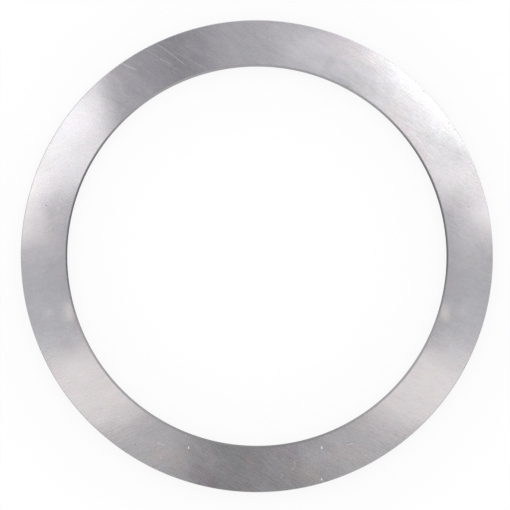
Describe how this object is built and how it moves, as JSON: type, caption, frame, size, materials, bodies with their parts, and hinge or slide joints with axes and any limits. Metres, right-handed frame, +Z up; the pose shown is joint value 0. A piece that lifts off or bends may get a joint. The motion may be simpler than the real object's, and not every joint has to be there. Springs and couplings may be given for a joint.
{
  "type": "shim ring",
  "caption": "Thin flat steel ring that slides over a shaft or drops into a housing bore to set the gap beside a bearing or a gear.",
  "frame": {"origin": "on the axis of the bore, at the lower face that the ring lies on", "axes": "+Z up along the axis of the bore, +X and +Y across the ring"},
  "size_m": [0.105, 0.105, 0.002],
  "materials": {
    "ground_steel": "satin"
  },
  "bodies": {
    "root": {"shim_ring": "ground_steel"}
  },
  "joints": []
}
